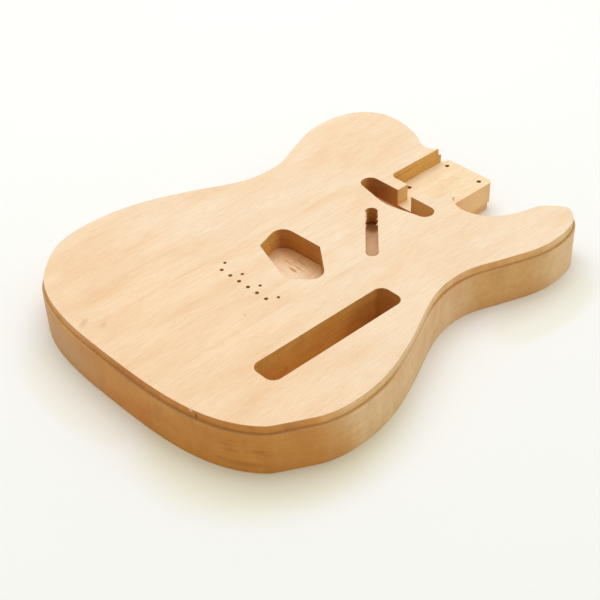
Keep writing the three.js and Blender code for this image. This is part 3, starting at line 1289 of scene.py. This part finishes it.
@dataclass(frozen=True)
class AlderFinish:
    """Alder wood as one way of working leaves it.

    Alder is a pale, even wood: fine straight fibres, faint growth rings and broad soft changes of
    tone. The pattern runs through the board, so it shows as long grain on the top and the long
    sides and as mottled end grain on the butt. Heights are in millimetres.

    Attributes:
        name: What the surface is.
        pale: Colour of the early wood.
        deep: Colour of the late wood and of the fibre bundles.
        blush: Colour of the pinker patches.
        edge: Colour that the sides are dyed towards, along the grain.
        end: Colour that end grain is dyed towards; faces that look to the butt take it most strongly, as
            painted shade.
        edge_share: How strongly the sides take their colour.
        end_share: How strongly end grain takes its colour.
        roughness: Roughness of the surface.
        level: Colour that level faces are dyed towards, if any; on the ledge it is painted shade with burn
            on the floor.
        tinted: Whether the sides take their plank's tint.
        burn_and_shade_band: Heights of the pale stretch of the ledge's wall; the cove under it is darkened
            with painted shade and burn, and a thin burnt line runs over it.
        burn_and_shade_floor: Height of the ledge's floor, where the darkening of the cove stops.
        burn_and_shade_fades: Over what height it fades, at the floor, above and below the lower height, and
            over the upper one.
        burn_and_shade_colour: What the burnt wood is dyed towards; in the cove it is also painted shade.
        tool_marks: How strongly the cutter's passes show on floors.
        tool_swing: Middle of the cutter's arcs, along and across the body.
        tool_floor: Height under which the passes show.
        tool_colour: What the passes are dyed towards.
        pass_gap: From one pass to the next.
        floor_fade: Over what height a floor's marks fade in.
        darker_floor_height: Height under which floors are dyed darker.
        darker_floor_colour: What those floors are dyed towards.
        marks_and_painted_light: Small marks, and spots of painted light and painted shade.
        fibre_strength: How dark the fibre bundles and pores are.
        wall_share: How much of the top's figure sides and walls keep.
        mottle_strength: How strongly sides and walls are mottled.
        streak_strength: How strongly fine level streaks show on sides and walls.
        ring_strength: How dark the growth rings are.
        ring_gap: From one growth ring to the next.
        ring_sway: How far the trunk's middle wanders.
        ring_drift: Waves per metre of its wandering, along, across and up.
        years: Some years leave a clear line and others hardly any.
        figure: Bundles of fibres, drawn a little coarse so that they show, veins and pores.
        tone: Broad changes of tone.
        patches: Where the wood is pinker.
        mottle: Mottle of sides and walls, coarse and fine.
        streaks: Level streaks of sides and walls.
        pass_patches: Where the cutter's passes show.
        relief: Height of the grain's bumps.
    """

    name: str
    pale: str
    deep: str
    blush: str
    edge: str
    end: str
    edge_share: float
    end_share: float
    roughness: float
    level: str | None = None
    tinted: bool = False
    burn_and_shade_band: tuple[float, float] | None = None
    burn_and_shade_floor: float = 36.87
    burn_and_shade_fades: tuple[float, float, float, float] = (0.1, 0.7, 0.2, 0.5)
    burn_and_shade_colour: str = "EADCBE"
    tool_marks: float = 0.0
    tool_swing: tuple[float, float] = (-130.0, 0.0)
    tool_floor: float = 26.5
    tool_colour: str = "DCB68E"
    pass_gap: float = 3.4
    floor_fade: float = 0.3
    darker_floor_height: float = 28.2
    darker_floor_colour: str = "ECDAC6"
    marks_and_painted_light: tuple[MarkOrPaintedLight, ...] = ()
    fibre_strength: float = 0.4
    wall_share: float = 0.3
    mottle_strength: float = 0.42
    streak_strength: float = 0.32
    ring_strength: float = 0.07
    ring_gap: float = 4.5
    ring_sway: float = 14.0
    ring_drift: tuple[float, float, float] = (6.0, 14.0, 14.0)
    years: Pattern = Pattern((160.0, 22.0, 22.0), 1.9, 0.38, 0.66)
    figure: tuple[Pattern, ...] = (
        Pattern((13.0, 0.7, 0.7), 3, 0.42, 0.7, 1.2, 3.0),
        Pattern((34.0, 1.6, 1.6), 5, 0.36, 0.7, 0.45),
        Pattern((150.0, 1.1, 1.1), 6, 0.6, 0.76),
        Pattern((1.7, 1.2, 1.2), 4, 0.45, 0.75, 0.8),
    )
    tone: Pattern = Pattern((110.0, 36.0, 36.0), 7, 0.32, 0.68, 0.12)
    patches: Pattern = Pattern((90.0, 28.0, 28.0), 13, 0.42, 0.66, 0.8)
    mottle: tuple[Pattern, ...] = (
        Pattern((15.0, 15.0, 30.0), 11, 0.34, 0.68),
        Pattern((5.0, 5.0, 8.0), 12, 0.38, 0.7, 0.7),
    )
    streaks: Pattern = Pattern((34.0, 34.0, 1.5), 14, 0.44, 0.72)
    pass_patches: Pattern = Pattern((8.0, 14.0, 16.0), 17, 0.46, 0.62)
    relief: float = 0.04

    def rings(self, wood: WoodShading, pith: tuple[float, float]) -> bpy.types.NodeSocket:
        """Adds growth rings about the tree's middle, which lay along the body.

        Args:
            wood: The finish's nodes.
            pith: Where the tree's middle lay across the body and up, in millimetres.

        Returns:
            The depth of the late wood.
        """
        # The trunk isn't quite straight, so the rings wander a few millimetres over a hand's length
        drift = wood.add(
            Node.SHIFT,
            Vector=wood.at,
            Location=(wood.seed, wood.seed * 0.7, wood.seed * 1.3),
            Scale=self.ring_drift,
        )
        wander = wood.add(Node.NOISE, Vector=drift, Scale=1.0, Detail=2.0, Roughness=0.45)
        sway = self.ring_sway
        offset = wood.add(
            Node.SCALE_AND_ADD_PLACE,
            in_0=wander.node.outputs["Color"],
            in_1=metres((0.0, sway, sway)),
            in_2=metres((0.0, -(sway / 2 + pith[0]), -(sway / 2 + pith[1]))),
        )
        wave = wood.add(
            Node.RINGS,
            Vector=wood.add(Node.ADD_PLACE, in_0=wood.at, in_1=offset),
            Scale=WAVE_LENGTH / (self.ring_gap * MM),
            Distortion=0.8,
            Detail=2.0,
            Detail_Scale=3.0,
        )
        late = wood.add(Node.SLOPE, Value=wave, From_Min=0.45, From_Max=1.0, To_Max=self.ring_strength)
        return wood.chain(Node.PRODUCT, late, wood.noise(self.years))

    def depth(self, wood: WoodShading, pith: tuple[float, float]) -> bpy.types.NodeSocket:
        """Adds up how deep the wood's tone is.

        Args:
            wood: The finish's nodes.
            pith: Where the tree's middle lay across the body and up, in millimetres.

        Returns:
            The depth of the tone.
        """
        fibres = [wood.noise(pattern, self.fibre_strength) for pattern in self.figure]
        figure = wood.chain(Node.SUM, *fibres, wood.noise(self.tone), self.rings(wood, pith))
        # Sides and walls cross the grain, where the figure fades to a soft mottle with faint lines
        kept = wood.add(Node.SCALE_AND_ADD, in_0=wood.level, in_1=1 - self.wall_share, in_2=self.wall_share)
        calm = wood.chain(Node.PRODUCT, figure, kept)
        clouds = [wood.noise(pattern, self.mottle_strength) for pattern in self.mottle]
        mottle = wood.chain(Node.SUM, *clouds, wood.noise(self.streaks, self.streak_strength))
        return wood.add(Node.SCALE_AND_ADD, in_0=mottle, in_1=wood.upright, in_2=calm)

    def burn_and_shade(self, wood: WoodShading) -> bpy.types.NodeSocket:
        """Adds the bands over and under the pale stretch of the ledge's wall: a thin burnt line over it, and
        painted shade with burn in the cove under it.

        Args:
            wood: The finish's nodes.

        Returns:
            How strongly the wood is darkened by burn and painted shade.
        """
        low, high = metres(self.burn_and_shade_band)
        floor = self.burn_and_shade_floor * MM
        on_floor, above, below, over = metres(self.burn_and_shade_fades)
        over_floor = wood.add(Node.SLOPE, Value=wood.height, From_Min=floor, From_Max=floor + on_floor)
        under = wood.add(Node.SLOPE, Value=wood.height, From_Min=low + above, From_Max=low - below)
        over = wood.add(Node.SLOPE, Value=wood.height, From_Min=high, From_Max=high + over, To_Max=0.8)
        return wood.chain(Node.SUM, wood.chain(Node.PRODUCT, under, over_floor), over)

    def floor_under(self, wood: WoodShading, height: float) -> bpy.types.NodeSocket:
        """Adds a mask for the floors under a height.

        Args:
            wood: The finish's nodes.
            height: The height in millimetres.

        Returns:
            1 on those floors and 0 elsewhere.
        """
        top, bottom = metres((height, height - self.floor_fade))
        deep = wood.add(Node.SLOPE, Value=wood.height, From_Min=top, From_Max=bottom)
        return wood.chain(Node.PRODUCT, deep, wood.level)

    def cutter_passes(self, wood: WoodShading) -> bpy.types.NodeSocket:
        """Adds the arcs that the cutter leaves on the floor of a cavity.

        Args:
            wood: The finish's nodes.

        Returns:
            The strength of the arcs.
        """
        arcs = wood.add(
            Node.ARCS,
            Vector=wood.add(Node.TAKE_PLACE, in_0=wood.at, in_1=metres((*self.tool_swing, 0.0))),
            Scale=WAVE_LENGTH / (self.pass_gap * MM),
            Distortion=1.2,
            Detail=2.0,
            Detail_Scale=2.0,
        )
        lines = wood.add(Node.SLOPE, Value=arcs, From_Min=0.66, From_Max=1.0)
        shown = wood.noise(self.pass_patches, self.tool_marks)
        return wood.chain(Node.PRODUCT, lines, shown, self.floor_under(wood, self.tool_floor))

    def stains(self, wood: WoodShading, tint: str) -> list[tuple[str, bpy.types.NodeSocket]]:
        """Lists what darkens the wood, in order.

        Args:
            wood: The finish's nodes.
            tint: The plank's tint.

        Returns:
            For each stain its colour and how strong it is.
        """
        # Upright faces are dyed: long grain a little, and end grain more; faces that look to the butt,
        # away from the lamp, take the end colour most strongly, which is painted shade
        butt = wood.add(
            Node.SLOPE, Value=wood.facing_neck, From_Min=0.16, From_Max=-0.65, To_Max=self.end_share
        )
        neck = wood.add(
            Node.SLOPE, Value=wood.facing_neck, From_Min=0.4, From_Max=0.95, To_Max=self.end_share * 0.4
        )
        stains = [
            (self.blush, wood.noise(self.patches)),
            (self.edge, wood.chain(Node.PRODUCT, wood.upright, self.edge_share)),
        ]
        if self.tinted:
            stains.append((tint, wood.upright))
        stains.append((self.end, wood.chain(Node.PRODUCT, wood.chain(Node.SUM, butt, neck), wood.upright)))
        # Level faces darker; on the ledge this is painted shade with burn on its floor
        if self.level:
            stains.append((self.level, wood.level))
        # Painted shade with burn in the ledge's cove, and a thin burnt line under its lip
        if self.burn_and_shade_band:
            stains.append((self.burn_and_shade_colour, self.burn_and_shade(wood)))
        if self.tool_marks:
            # Floors under a height are dyed darker
            stains.append((self.darker_floor_colour, self.floor_under(wood, self.darker_floor_height)))
            stains.append((self.tool_colour, self.cutter_passes(wood)))
        return stains

    def make(self, board: Board, plank: Plank) -> bpy.types.Material:
        """Builds the finish for one board.

        Args:
            board: The board.
            plank: The wood that it was sawn from.

        Returns:
            The material.
        """
        wood = WoodShading(f"{board.node}_{self.name}_alder", plank.seed)
        depth = self.depth(wood, plank.pith)
        colour = wood.add(Node.COVER, in_0=depth, in_6=linear(self.pale), in_7=linear(self.deep))
        for stain, amount in self.stains(wood, plank.tint):
            colour = wood.add(Node.STAIN, in_0=amount, in_6=colour, in_7=linear(stain))
        # Marks in the wood, and spots of painted light and painted shade
        for mark in self.marks_and_painted_light:
            kind = Node.COVER if mark.cover else Node.STAIN
            colour = wood.add(kind, in_0=wood.spot(mark), in_6=colour, in_7=linear(mark.colour))
        bumps = wood.add(Node.BUMP, Strength=0.5, Distance=self.relief * MM, Height=depth)
        wood.feed(wood.surface, Base_Color=colour, Roughness=self.roughness, IOR=1.5, Normal=bumps)
        return wood.material


# The boards


# Sanded smooth: a matt, silky top with clear long grain, and darker, yellower sides, with painted shade
# where they face the butt
SANDED_ALDER = AlderFinish(
    "sanded",
    pale="FAE1C1",
    deep="E6C49C",
    blush="FAF0E6",
    edge="F6E6CA",
    end="E0BE6A",
    edge_share=0.9,
    end_share=0.95,
    roughness=0.62,
    tinted=True,
    marks_and_painted_light=(
        # Tone of the whole top, of the butt's treble corner and of its bass end
        MarkOrPaintedLight((-200.0, -10.0, 44.45), (190.0, 250.0, 8.0), colour="FFF8F0"),
        MarkOrPaintedLight((-180.0, -150.0, 10.0), (85.0, 170.0, 36.0), 1.0, 0.3, colour="F8E8CA"),
        MarkOrPaintedLight((-202.0, 80.0, 14.0), (50.0, 100.0, 36.0), 0.42, 1.0, colour="C4A48C", cover=True),
        # Streaks in the butt's treble corner
        MarkOrPaintedLight((-185.0, -110.0, 24.5), (12.0, 12.0, 2.0), 0.4, 1.0, colour="C08C50"),
        MarkOrPaintedLight((-184.0, -114.0, 19.5), (9.0, 9.0, 2.6), 0.45, 1.0, colour="C8965C"),
        MarkOrPaintedLight((-174.0, -131.0, 21.5), (14.0, 14.0, 2.4), 0.4, 1.0, colour="C8965C"),
        MarkOrPaintedLight((-178.0, -122.0, 8.0), (20.0, 26.0, 4.0), 0.4, 0.8, colour="CC9C64"),
        MarkOrPaintedLight((-189.0, -106.0, 9.5), (7.0, 9.0, 1.6), 0.4, 1.0, colour="B88850"),
        MarkOrPaintedLight((-179.0, -123.5, 30.5), (3.0, 3.0, 4.5), 0.35, 1.0, colour="C49458"),
        MarkOrPaintedLight((-183.0, -114.0, 28.5), (8.0, 9.0, 1.6), 0.3, 1.0, colour="C49458"),
        MarkOrPaintedLight((-168.0, -134.0, 18.5), (8.0, 9.0, 1.4), 0.35, 1.0, colour="BC8C50"),
        # Swirl, pale patch, dimple and smudges on the top
        MarkOrPaintedLight((-151.0, 78.0, 44.45), (34.0, 20.0, 3.0), 0.15, turn=20.0, colour="F0E2D2"),
        MarkOrPaintedLight((-142.0, 84.0, 44.45), (34.0, 14.0, 3.0), 0.25, 1.0, colour="FAE2C2", cover=True),
        MarkOrPaintedLight((-97.2, -30.8, 44.45), (1.8, 1.4, 1.0), 0.4, colour="C8A27C"),
        MarkOrPaintedLight((-191.8, 50.2, 44.45), (10.0, 4.0, 2.0), 0.45, 1.0, 33.0, colour="D8C0A4"),
        MarkOrPaintedLight((-182.5, 37.5, 44.45), (5.5, 3.0, 2.0), 0.4, 1.0, 30.0, colour="D8C0A4"),
        # Painted light on the heel's side, which the horn shades, and a tick under the horn's tip
        MarkOrPaintedLight((170.0, -32.0, 20.0), (44.0, 14.0, 40.0), 0.85, colour="FAD49A", cover=True),
        MarkOrPaintedLight((164.3, -130.7, 31.0), (1.4, 3.0, 2.4), 0.7, colour="A88A5C"),
    ),
)

# Cut with a rabbeting cutter: rougher and browner, a thin burnt line over a pale band, and painted shade
# with burn in the cove under it and on its floor
LEDGE_ALDER = AlderFinish(
    "ledge_cut",
    pale="FBE3C3",
    deep="E2BC90",
    blush="F8E8DC",
    edge="FFF4D2",
    end="ECC276",
    edge_share=0.9,
    end_share=0.9,
    roughness=0.7,
    # Painted shade with burn on the ledge's floor and in its cove; a thin burnt line under the lip
    level="E2CCA8",
    burn_and_shade_band=(37.9, 43.6),
    marks_and_painted_light=(
        # Darker at the butt, paler at the waist, and browner at the butt's bass end
        MarkOrPaintedLight((-190.0, -90.0, 40.0), (70.0, 160.0, 14.0), 1.0, 0.5, colour="E6D8BE"),
        MarkOrPaintedLight((-20.0, -138.0, 38.0), (66.0, 36.0, 9.0), 0.45, colour="F2DAB4", cover=True),
        MarkOrPaintedLight((-195.0, 60.0, 43.5), (30.0, 84.0, 4.0), 0.32, colour="C09484", cover=True),
        # A pale and a dark chip
        MarkOrPaintedLight((-194.7, -83.7, 44.0), (3.4, 2.4, 2.8), 0.55, colour="FCEAD8", cover=True),
        MarkOrPaintedLight((-193.5, -88.3, 40.0), (2.2, 1.4, 3.5), 0.7, colour="A87A48"),
    ),
)

# Routed: fuzzy golden walls, brown where they cut end grain and browner with painted shade where they face
# the butt, and floors with the cutter's arcs
ROUTED_ALDER = AlderFinish(
    "routed",
    pale="FFEFCF",
    deep="E6C396",
    blush="F8E8DC",
    edge="F0CC70",
    end="BA843C",
    edge_share=0.9,
    end_share=0.7,
    roughness=0.7,
    mottle_strength=0.3,
    streak_strength=0.5,
    tool_marks=0.15,
    marks_and_painted_light=(
        # Floor of the bridge cavity: a half with painted light, a half along the far wall with painted
        # shade, a streak and the arcs beside it
        MarkOrPaintedLight((-23.0, 2.0, 25.4), (17.0, 46.0, 2.0), 0.6, 0.8, colour="FFE8C8", cover=True),
        MarkOrPaintedLight((3.0, 12.0, 25.4), (14.0, 46.0, 2.0), 1.0, 0.7, colour="E2CCAE"),
        MarkOrPaintedLight((-14.7, 5.0, 25.4), (1.7, 7.0, 2.0), turn=-5.0, colour="DDAE68"),
        MarkOrPaintedLight((-9.8, 3.5, 25.4), (1.1, 9.0, 2.0), 0.8, 0.8, -3.0, colour="CC9858"),
        MarkOrPaintedLight((-10.2, 16.0, 25.4), (1.1, 8.0, 2.0), 0.7, 0.8, -5.0, colour="D4AA7C"),
        MarkOrPaintedLight((-3.0, 7.0, 25.4), (1.1, 8.0, 2.0), 0.7, 0.8, -5.0, colour="D4AA7C"),
        MarkOrPaintedLight((-21.0, 12.0, 25.4), (1.4, 9.0, 2.0), 0.35, 0.8, 3.0, colour="E0BC90"),
        # A line in the pocket's wall, and the paler wood round the notch
        MarkOrPaintedLight((140.0, 27.95, 39.0), (24.0, 2.0, 0.5), 0.7, colour="A86A30"),
        MarkOrPaintedLight((119.0, 6.85, 37.0), (9.0, 1.5, 14.0), 0.7, colour="F8D49A", cover=True),
        MarkOrPaintedLight((112.9, -27.0, 37.0), (2.4, 26.0, 20.0), 0.5, colour="ECC078", cover=True),
        # Painted shade on the floor by the wiring slot's upper end wall, and painted light on its pale walls
        MarkOrPaintedLight((76.0, 1.5, 27.95), (16.0, 9.0, 3.0), 1.0, 0.5, 45.0, colour="BE946A"),
        MarkOrPaintedLight((50.0, -23.0, 36.5), (24.0, 16.0, 9.0), 0.6, 0.3, 45.0, colour="FFEAD0", cover=True),
        # Paler inside the string holes and the pocket's screw holes, painted light in their shade, and the
        # pocket's paler floor
        MarkOrPaintedLight((-66.0, 0.0, 36.0), (20.0, 52.0, 14.0), 0.3, 0.3, colour="F0C890", cover=True),
        MarkOrPaintedLight((166.0, 0.0, 20.0), (44.0, 34.0, 8.3), 0.7, 0.2, colour="FFECC4", cover=True),
        MarkOrPaintedLight((165.0, 0.0, 28.55), (70.0, 60.0, 2.0), 1.0, 0.4, colour="FEF8F0"),
        # Upper and lower parts of the neck cavity's bass end
        MarkOrPaintedLight((118.0, 32.0, 37.0), (10.0, 30.0, 15.0), 1.0, 0.4, colour="E2DCF8"),
        MarkOrPaintedLight((118.0, 18.0, 14.0), (10.0, 34.0, 12.0), 0.7, 0.5, colour="FAE4BC", cover=True),
        # A chip and a shadowed stretch of the control cavity
        MarkOrPaintedLight((-132.9, -94.0, 43.6), (1.2, 1.6, 1.6), 0.8, colour="F4DDB8", cover=True),
        MarkOrPaintedLight((-15.0, -79.0, 22.0), (32.0, 3.0, 26.0), 0.6, colour="D8C2A8"),
    ),
)


@dataclass
class GluedBoards:
    """The three boards, parted from the slab at its glue joints."""

    centre_width: float = 88.9
    smooth_angle: float = 14.0
    finishes: dict[Cut, AlderFinish] = field(
        default_factory=lambda: {
            Cut.SANDED: SANDED_ALDER,
            Cut.LEDGE: LEDGE_ALDER,
            Cut.ROUTED: ROUTED_ALDER,
        }
    )
    planks: dict[Board, Plank] = field(
        default_factory=lambda: {
            Board.BASS: Plank((190.0, -90.0), 3.7),
            Board.CENTRE: Plank((-60.0, -170.0), 11.2, "FFF5F0"),
            Board.TREBLE: Plank((-20.0, -110.0), 7.9),
        }
    )

    def build(self, slab: bpy.types.Object, marks: Marks) -> list[bpy.types.Object]:
        """Parts the slab and dresses each board.

        Args:
            slab: The slab with all its cuts.
            marks: The stand-in materials on its faces.

        Returns:
            The boards.
        """
        pieces = [self.part(slab, board) for board in Board]
        bpy.data.objects.remove(slab)
        for piece, board in zip(pieces, Board):
            self.dress(piece, board, marks)
        return pieces

    def part(self, slab: bpy.types.Object, board: Board) -> bpy.types.Object:
        """Cuts one board out of a copy of the slab.

        Args:
            slab: The slab.
            board: The board.

        Returns:
            The board's object.
        """
        pick(slab)
        bpy.ops.object.duplicate()
        piece = bpy.context.object
        piece.name = f"{board.node}_wood"
        half = self.centre_width / 2
        cuts = []
        if board is not Board.BASS:
            cuts.append((half if board is Board.CENTRE else -half, True))
        if board is not Board.TREBLE:
            cuts.append((-half if board is Board.CENTRE else half, False))
        for joint_y, keep_below in cuts:
            with editing(piece, "FACE", "SELECT"):
                bpy.ops.mesh.bisect(
                    plane_co=(0, joint_y * MM, 0),
                    plane_no=(0, 1, 0),
                    use_fill=True,
                    clear_inner=not keep_below,
                    clear_outer=keep_below,
                )
        return piece

    def dress(self, piece: bpy.types.Object, board: Board, marks: Marks) -> None:
        """Gives a board its finishes and hands it to the frame.

        Args:
            piece: The board's object.
            board: The board.
            marks: The stand-in materials on its faces.
        """
        plank = self.planks[board]
        made = {marks[cut].name: finish.make(board, plank) for cut, finish in self.finishes.items()}
        for slot in piece.material_slots:
            slot.material = made[slot.material.name]
        pick(piece)
        bpy.ops.object.shade_smooth_by_angle(angle=math.radians(self.smooth_angle))
        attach(piece, "root")
        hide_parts(board.node)


# The studio


@dataclass
class Studio:
    """The pale floor, the soft light and the camera.

    The warm spots are painted bounce light and painted shade: where the body warms and darkens the floor
    with the light that it throws back and blocks.
    """

    floor_size: float = 6000.0
    floor_gap: float = 0.02
    floor_colour: str = "F6F5F1"
    floor_roughness: float = 0.9
    warm_colour: str = "EEEBD6"
    warm_spots: tuple[Spot, ...] = (
        Spot((-130.0, -95.0, 0.0), (125.0, 112.0, 1000.0), 1.0, 0.35),
        Spot((-208.0, 25.0, 0.0), (44.0, 95.0, 1000.0), 0.4, 0.35),
        Spot((118.0, -156.0, 0.0), (70.0, 30.0, 1000.0), 0.5, 0.35),
    )
    surround_colour: str = "F8FBF0"
    surround_strength: float = 0.65
    lamp_place: tuple[float, float, float] = (380.0, 520.0, 2100.0)
    lamp_target: tuple[float, float, float] = (0.0, 0.0, 20.0)
    lamp_size: tuple[float, float] = (2400.0, 2000.0)
    lamp_energy: float = 34.0
    lamp_colour: str = "F0F0FC"
    camera_place: tuple[float, float, float] = (-573.085, -632.078, 652.984)
    camera_turn: tuple[float, float, float] = (52.0802, 1.7640, -42.9334)
    camera_sensor: float = 36.0
    camera_lens: float = 76.0757

    def floor(self) -> None:
        """Lays the floor of matt paper just under the back of the body, without gloss, with painted bounce
        light and shade near the body.
        """
        deselect_all()
        bpy.ops.mesh.primitive_plane_add(size=self.floor_size * MM, location=(0, 0, -self.floor_gap * MM))
        floor = settle(bpy.context.object)
        floor.name = "studio_floor"
        paper = Shading("matt_paper_backdrop")
        # Painted bounce light and painted shade: the paper turns warmer and darker near the body
        painted_bounce_shade = paper.chain(Node.LARGEST, 0.0, *[paper.spot(spot) for spot in self.warm_spots])
        pale, warm = linear(self.floor_colour), linear(self.warm_colour)
        colour = paper.add(Node.COVER, in_0=painted_bounce_shade, in_6=pale, in_7=warm)
        paper.feed(paper.surface, Base_Color=colour, Roughness=self.floor_roughness)
        floor.data.materials.append(paper.material)

    def light(self) -> None:
        """Hangs a large soft light over the body and fills in with an even warm surround."""
        world = bpy.data.worlds.new("white_surround")
        bpy.context.scene.world = world
        world.use_nodes = True
        surround = world.node_tree.nodes["Background"]
        surround.inputs["Color"].default_value = linear(self.surround_colour)
        surround.inputs["Strength"].default_value = self.surround_strength
        deselect_all()
        bpy.ops.object.light_add(type="AREA", location=metres(self.lamp_place))
        lamp = bpy.context.object
        lamp.name = "overhead_softbox"
        lamp.data.shape = "RECTANGLE"
        lamp.data.size, lamp.data.size_y = metres(self.lamp_size)
        lamp.data.energy = self.lamp_energy
        lamp.data.color = linear(self.lamp_colour)[:3]
        aim = Vector(metres(self.lamp_target)) - lamp.location
        lamp.rotation_euler = aim.to_track_quat("-Z", "Y").to_euler()

    def camera(self) -> None:
        """Sets the camera where the photograph was taken from."""
        deselect_all()
        turn = tuple(math.radians(angle) for angle in self.camera_turn)
        bpy.ops.object.camera_add(location=metres(self.camera_place), rotation=turn)
        camera = bpy.context.object
        camera.name = "studio_camera"
        camera.data.sensor_width = self.camera_sensor
        camera.data.lens = self.camera_lens
        bpy.context.scene.camera = camera
        bpy.context.scene.view_settings.view_transform = "Standard"


def main() -> None:
    """Builds the studio, the slab and its boards."""
    studio = Studio()
    studio.camera()
    studio.floor()
    studio.light()
    marks = {cut: bpy.data.materials.new(f"mark_{cut.value}") for cut in Cut}
    slab = Slab().shape(marks)
    for piece in GluedBoards().build(slab, marks):
        log.info("%s: %d faces", piece.name, len(piece.data.polygons))
    for mark in marks.values():
        bpy.data.materials.remove(mark)


if __name__ == "__main__":
    main()
